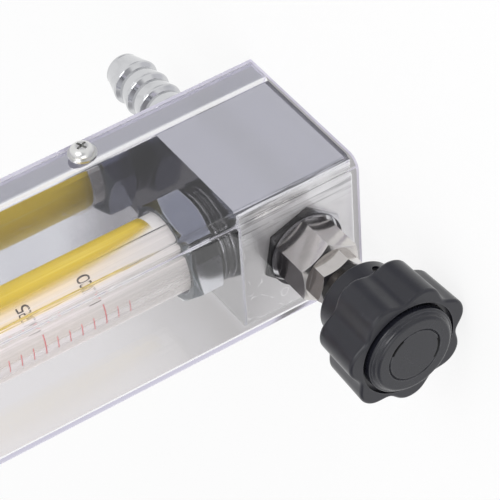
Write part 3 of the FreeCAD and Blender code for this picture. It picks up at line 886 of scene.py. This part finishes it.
def floor_finish():
    # Pale paper. Through clear pieces it looks darker near the meter, as in its shadow, and it
    # lets reflections through to the room.
    shadow_start, shadow_end, shadow_far = 0.05, 0.19, 0.34
    finish, tree = start_finish("studio_floor")
    path = tree.nodes.new("ShaderNodeLightPath").outputs
    cloud = noise(tree, Scale=8.0)
    paper = tint(tree, cloud, plain(0.90, 0.90, 0.90), plain(0.93, 0.93, 0.93))
    matt = add(tree, "ShaderNodeBsdfDiffuse", Color=paper).outputs[0]
    out = vector_length(tree, part_place(tree))
    near = spread(tree, out, shadow_start, shadow_end, soft=True)
    shadow = tint(tree, near, plain(0.36, 0.35, 0.35), plain(0.72, 0.70, 0.70))
    shadow = tint(tree, spread(tree, out, shadow_end, shadow_far), shadow, plain(0.78, 0.76, 0.765))
    seen = tint(tree, path["Is Transmission Ray"], WHITE, shadow)
    clear = tree.nodes.new("ShaderNodeBsdfTransparent").outputs[0]
    pale = join_shaders(tree, times(tree, seen_mask(tree, path), 0.85), matt, glow(tree, seen))
    return close_finish(finish, join_shaders(tree, reflected_mask(tree, path), pale, clear))


def add_floor():
    reach = 4.0
    level = -16.5 * MM
    corners = [(x * reach, y * reach, level) for x, y in ((-1, -1), (1, -1), (1, 1), (-1, 1))]
    mesh = bpy.data.meshes.new("studio_floor")
    mesh.from_pydata(corners, [], [(0, 1, 2, 3)])
    mesh.materials.append(floor_finish())
    floor = bpy.data.objects.new("studio_floor", mesh)
    bpy.context.scene.collection.objects.link(floor)


# Dressing the meter

set_camera()

dress(mirror_sheet(), "back_channel")
dress(clear_acrylic(), "front_cover")
dress(tube_glass(), "metering_tube")
dress(polished_block(), "lower_block", "upper_block")
dress(chrome_with_painted_light(), "lower_gland_nut", "upper_gland_nut")
dress(threaded_chrome(), "inlet_tail", "outlet_tail")
dress(valve_nut(), "valve_lock_nut")

chrome_plate = bright_metal(
    "chrome_plate", plain(0.84, 0.845, 0.86), plain(0.72, 0.725, 0.75), (0.05, 0.13), (900.0, 900.0, 900.0))
nickel_plate = bright_metal(
    "nickel_plate", plain(0.60, 0.575, 0.555), plain(0.50, 0.48, 0.465), (0.14, 0.24),
    (3600.0, 300.0, 3600.0), wear=0.6, upward_shade=plain(0.20, 0.185, 0.185))
steel_stem = bright_metal(
    "steel_stem", plain(0.56, 0.53, 0.50), plain(0.45, 0.42, 0.40), (0.20, 0.30), (400.0, 4000.0, 400.0))
float_metal = bright_metal(
    "float_metal", plain(0.60, 0.60, 0.62), plain(0.48, 0.48, 0.50), (0.22, 0.34), (400.0, 400.0, 4000.0))
screw_steel = bright_metal(
    "screw_steel", plain(0.70, 0.70, 0.69), plain(0.54, 0.54, 0.54), (0.26, 0.38),
    (1800.0, 1800.0, 1800.0), wear=0.3)
dress(chrome_plate, "upper_plug", "inlet_lock_nut", "outlet_lock_nut")
dress(nickel_plate, "valve_bonnet", "packing_nut")
dress(steel_stem, "valve_stem")
dress(float_metal, "float")
for side in ("right_lower", "right_upper", "left_lower", "left_upper"):
    dress(screw_steel, "cover_screw_" + side, "cover_washer_" + side, "nut_plate_" + side)

knob_plastic = moulded_plastic(
    "knob_plastic", plain(0.0085, 0.0088, 0.0150), plain(0.0125, 0.0128, 0.0190), 0.28)
cap_plastic = moulded_plastic(
    "cap_plastic", plain(0.0110, 0.0115, 0.0170), plain(0.0150, 0.0158, 0.0220), 0.25, arcs=True)
black_screw = moulded_plastic("black_screw", plain(0.012, 0.012, 0.012), plain(0.02, 0.02, 0.02), 0.30)
dress(knob_plastic, "knob")
dress(cap_plastic, "knob_cap")
dress(black_screw, "knob_set_screw")

white_polymer = soft_polymer("white_polymer", linear(236, 236, 232), linear(222, 221, 216), 0.5)
seal_rubber = soft_polymer("seal_rubber", linear(38, 38, 40), linear(52, 52, 54), 0.65)
dress(white_polymer, "lower_stop", "upper_stop", "stem_packing")
dress(seal_rubber, "lower_tube_ring", "upper_tube_ring")
dress(seal_rubber, "plug_gasket", "inlet_gasket", "outlet_gasket", "valve_gasket")

tube_coat("white_enamel", enamel(), (0.01 * MM, 0.06 * MM), (-8.0, 188.0), ENAMEL_HALF_LENGTH, 1.0 * MM)
tube_coat("painted_backing_image", painted_backing_image(), (0.002 * MM, 0.006 * MM), (-170.0, -10.0), ENAMEL_HALF_LENGTH, 1.0 * MM)
tube_coat("yellow_coat", yellow_coat(), (0.07 * MM, 0.13 * MM), (-44.0, 224.0), YELLOW_HALF_LENGTH, 4.0 * MM)
scale_ticks(scale_ink("red_ink", linear(196, 70, 74), linear(214, 120, 122)))
scale_figures(scale_ink("brown_ink", linear(52, 40, 36), linear(88, 74, 68)))

add_floor()
set_world()
soft_light("key_light", (0.85, -0.25, 0.84), 0.6, 4.5)
soft_light("front_light", (0.15, -1.1, 0.44), 0.7, 2.0)
bpy.context.scene.view_settings.view_transform = "Standard"
